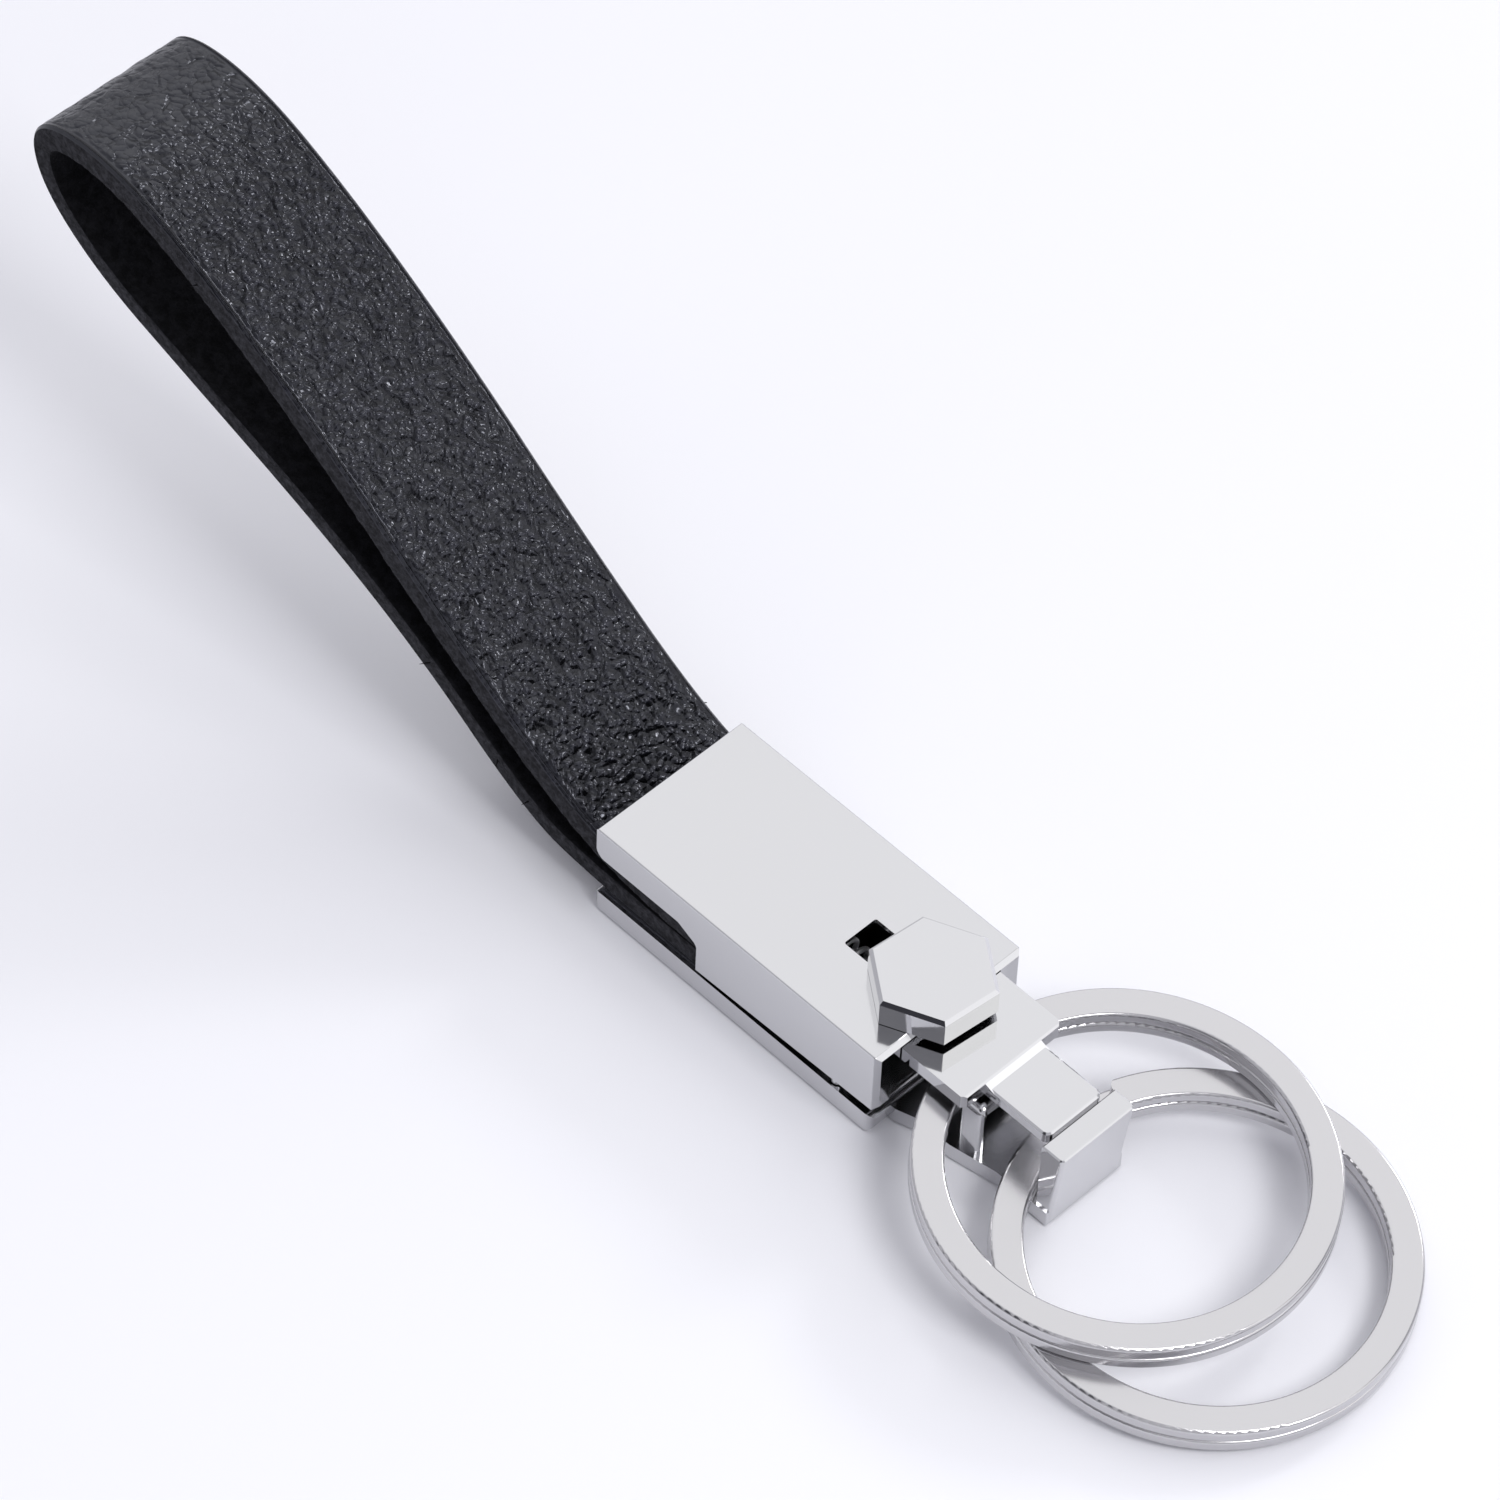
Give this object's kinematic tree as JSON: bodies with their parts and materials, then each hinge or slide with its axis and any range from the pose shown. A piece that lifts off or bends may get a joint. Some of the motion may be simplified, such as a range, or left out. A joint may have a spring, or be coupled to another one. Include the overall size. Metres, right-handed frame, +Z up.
{
  "type": "split key ring",
  "caption": "Leather-loop key fob whose metal case has a sliding thumb-button gate that locks flat split rings onto a slotted tongue.",
  "frame": {"origin": "on the flat underside of the metal case, on its centre line, where the ring tongue begins", "axes": "+Z up from the surface the fob lies on, +X along the tongue towards the split rings, +Y across the case; the leather loop runs along -X"},
  "size_m": [0.1327, 0.0322, 0.0386],
  "materials": {
    "cast_chrome": "polished chrome plate on a zinc casting",
    "ring_nickel": "nickel-plated flat strip, soft polish",
    "plain_steel": "bright zinc-plated steel",
    "black_leather": "pebbled black leather, suede inside"
  },
  "bodies": {
    "case": {"base_frame": "cast_chrome", "top_cover": "cast_chrome", "leather_strap": "black_leather", "cover_screws": "plain_steel", "spring_guide_rod": "plain_steel", "return_spring": "plain_steel"},
    "slider": {"slider_gate": "cast_chrome", "thumb_button": "cast_chrome", "button_screw": "plain_steel"},
    "inner_ring": {"ring_inner": "ring_nickel"},
    "outer_ring": {"ring_outer": "ring_nickel"}
  },
  "joints": [
    {"name": "slider_slide", "type": "slide", "parent": "case", "child": "slider", "axis": [-1, 0, 0], "range_m": [0, 0.0054], "stiffness_N_per_m": 250, "springref_m": -0.004, "deforming": ["return_spring"]},
    {"name": "inner_ring_swing", "type": "hinge", "parent": "case", "child": "inner_ring", "pos_m": [0.004, 0, 0.00455], "axis": [0, -1, 0], "range_deg": [0, 120]},
    {"name": "outer_ring_swing", "type": "hinge", "parent": "case", "child": "outer_ring", "pos_m": [0.0123, 0, 0.0037], "axis": [0, 1, 0], "range_deg": [0, 100]}
  ]
}
